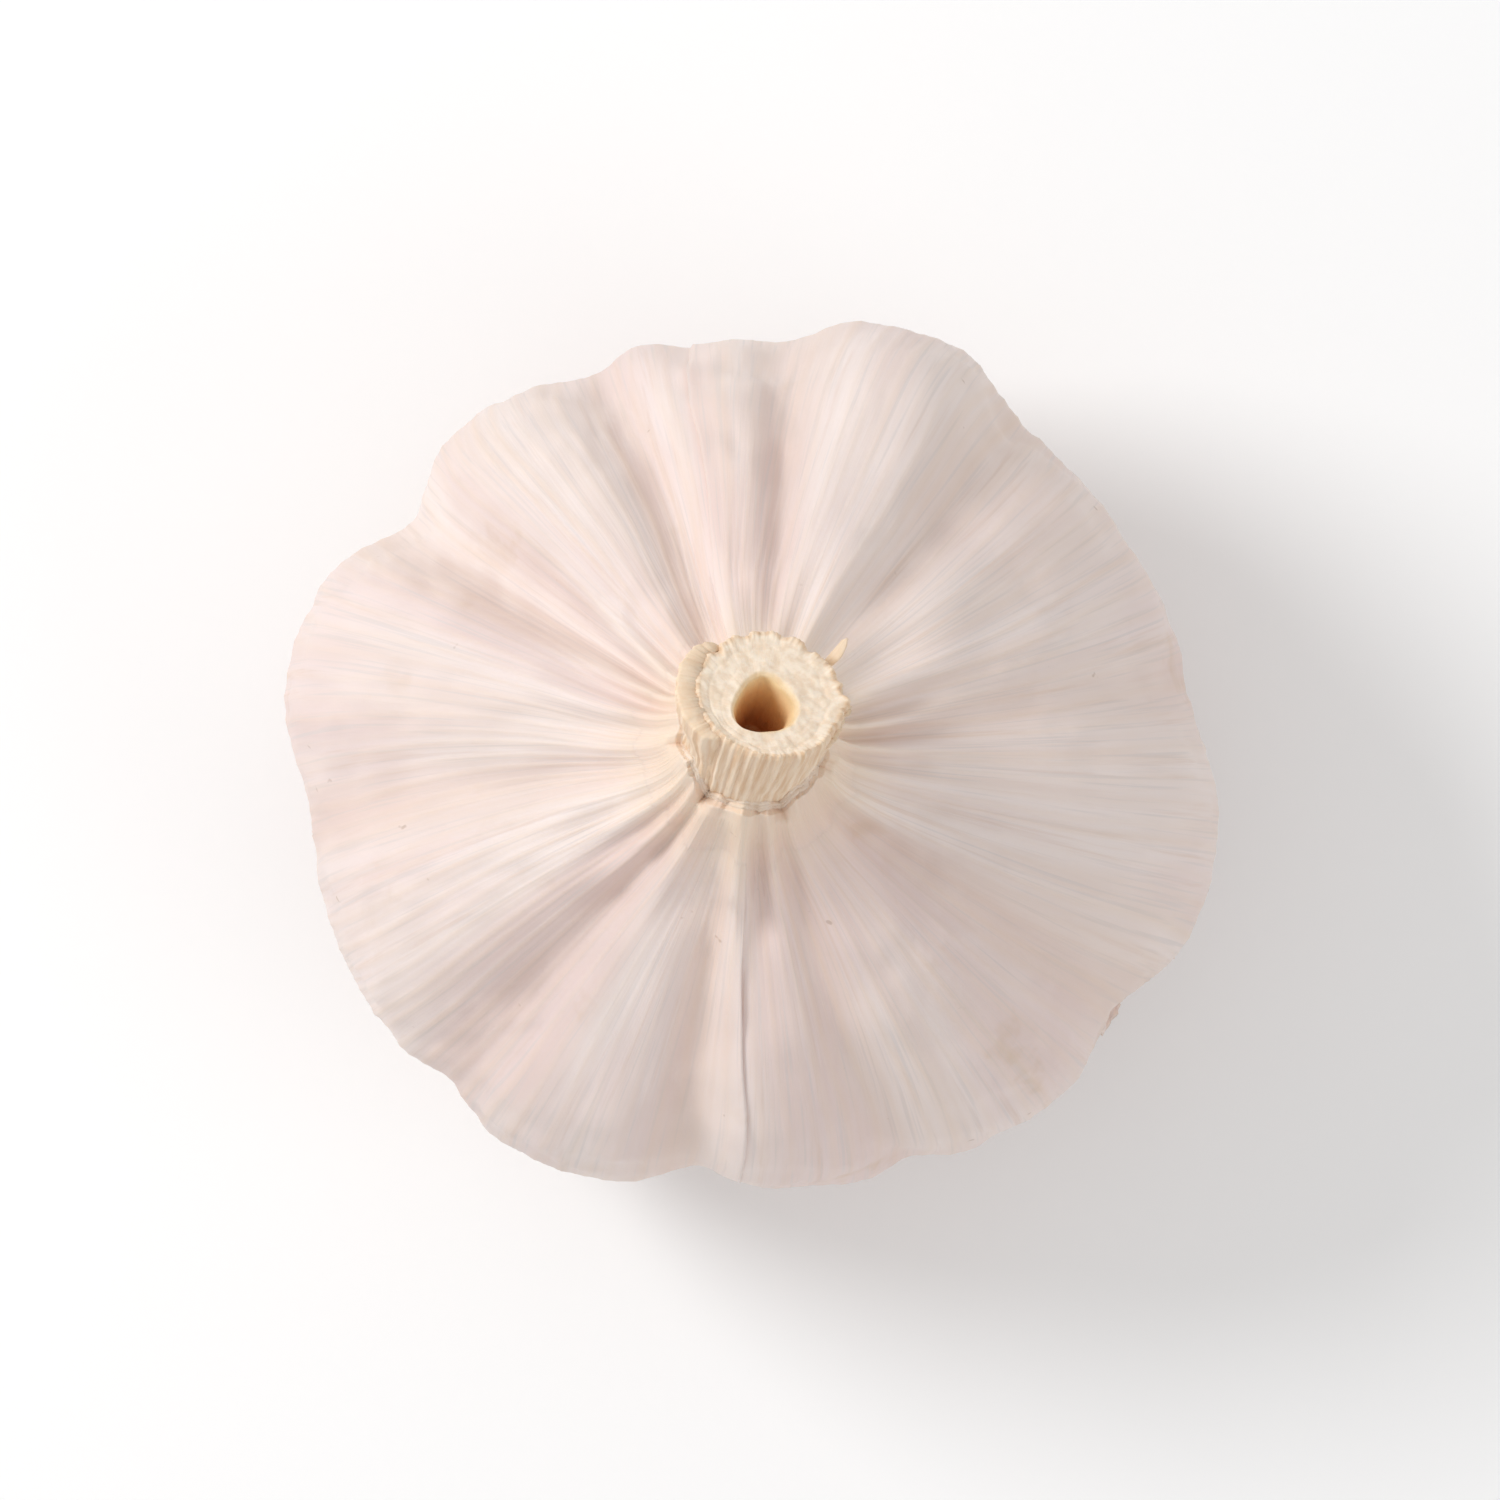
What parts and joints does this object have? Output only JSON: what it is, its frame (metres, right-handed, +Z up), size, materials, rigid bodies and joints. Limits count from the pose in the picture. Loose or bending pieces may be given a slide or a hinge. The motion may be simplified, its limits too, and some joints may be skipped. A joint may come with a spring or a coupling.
{
  "type": "garlic bulb",
  "caption": "Whole garlic bulb in papery skins over lobed cloves, standing on its root plate, with a pleated neck, a short leaning cut stem and trimmed roots.",
  "frame": {"origin": "centre of the flat spot under the root plate, on the surface that the bulb stands on", "axes": "+Z up along the bulb from the roots to the stem; +Y the side that the cut stem leans to, which is up in the picture; +X right in the picture"},
  "size_m": [0.0596, 0.0555, 0.0659],
  "materials": {
    "skin": "dry papery skin, off-white with faint lilac and tan streaks",
    "stem": "dry fibrous stalk, cream",
    "roots": "dry wiry roots, golden brown"
  },
  "bodies": {
    "root": {"bulb": "skin", "stem": "stem", "root_plate": "roots"}
  },
  "joints": []
}
